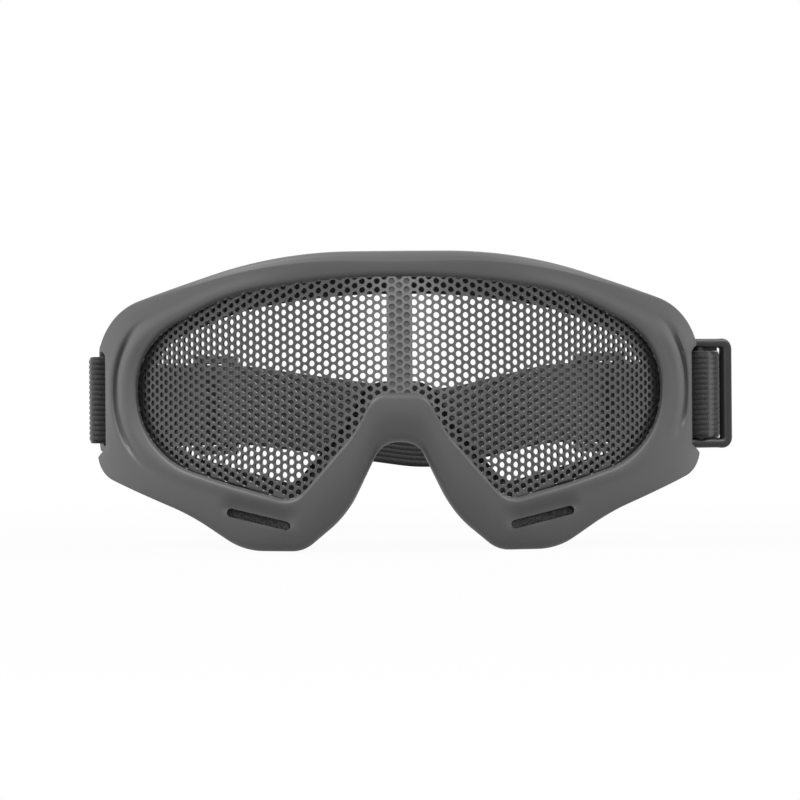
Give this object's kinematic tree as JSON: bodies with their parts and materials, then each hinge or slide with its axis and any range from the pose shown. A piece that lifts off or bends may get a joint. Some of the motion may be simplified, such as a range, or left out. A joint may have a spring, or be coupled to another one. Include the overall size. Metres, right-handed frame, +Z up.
{
  "type": "mesh safety goggles",
  "caption": "Wrap-round safety goggles with a curved perforated steel sheet for a lens, a foam face seal and an adjustable elastic strap on swivelling clips.",
  "frame": {"origin": "on the resting plane, in the plane of symmetry, under the foremost line of the perforated sheet", "axes": "+X to the right as seen from the front, +Y from the front of the goggles to the back of the strap, +Z up"},
  "size_m": [0.191, 0.163, 0.0823],
  "materials": {
    "frame_plastic": "moulded soft-touch polymer, dark grey, faint satin sheen",
    "mesh_steel": "perforated steel sheet, dark grey powder coat",
    "brace_plastic": "moulded mid-grey bar behind the sheet",
    "foam": "black closed-cell foam, velour faced",
    "clip_plastic": "moulded nylon, fine satin grain",
    "pin_steel": "blackened steel wire",
    "webbing": "woven elastic webbing with lengthwise ribs",
    "slider_plastic": "moulded nylon, satin",
    "thread": "sewing thread"
  },
  "bodies": {
    "root": {"frame": "frame_plastic", "mesh_lens": "mesh_steel", "centre_brace": "brace_plastic", "face_foam": "foam", "vent_foam_left": "foam", "vent_foam_right": "foam", "hinge_pin_left": "pin_steel", "hinge_pin_right": "pin_steel", "strap_band": "webbing", "strap_lead_left": "webbing", "strap_lead_right": "webbing", "strap_tail_left": "webbing", "strap_tail_right": "webbing"},
    "clip_left": {"clip_left": "clip_plastic", "strap_wrap_left": "webbing"},
    "clip_right": {"clip_right": "clip_plastic", "strap_wrap_right": "webbing"},
    "slider_left": {"slider_left": "slider_plastic", "bar_tack_left": "thread"},
    "slider_right": {"slider_right": "slider_plastic", "bar_tack_right": "thread"}
  },
  "joints": [
    {"name": "clip_right_swing", "type": "hinge", "parent": "root", "child": "clip_right", "pos_m": [0.084, 0.0646, 0.0425], "axis": [0, 0, 1], "range_deg": [-8, 80], "deforming": ["strap_lead_right"]},
    {"name": "clip_left_swing", "type": "hinge", "parent": "root", "child": "clip_left", "pos_m": [-0.084, 0.0646, 0.0425], "axis": [0, 0, -1], "range_deg": [-63, 25], "deforming": ["strap_lead_left"]},
    {"name": "slider_right_slide", "type": "slide", "parent": "root", "child": "slider_right", "axis": [-0.6733, 0.7393, 0], "range_m": [-0.026, 0.002], "deforming": ["strap_tail_right"]},
    {"name": "slider_left_slide", "type": "slide", "parent": "root", "child": "slider_left", "axis": [0.5738, 0.819, 0], "range_m": [-0.026, 0.002], "deforming": ["strap_tail_left"]}
  ]
}
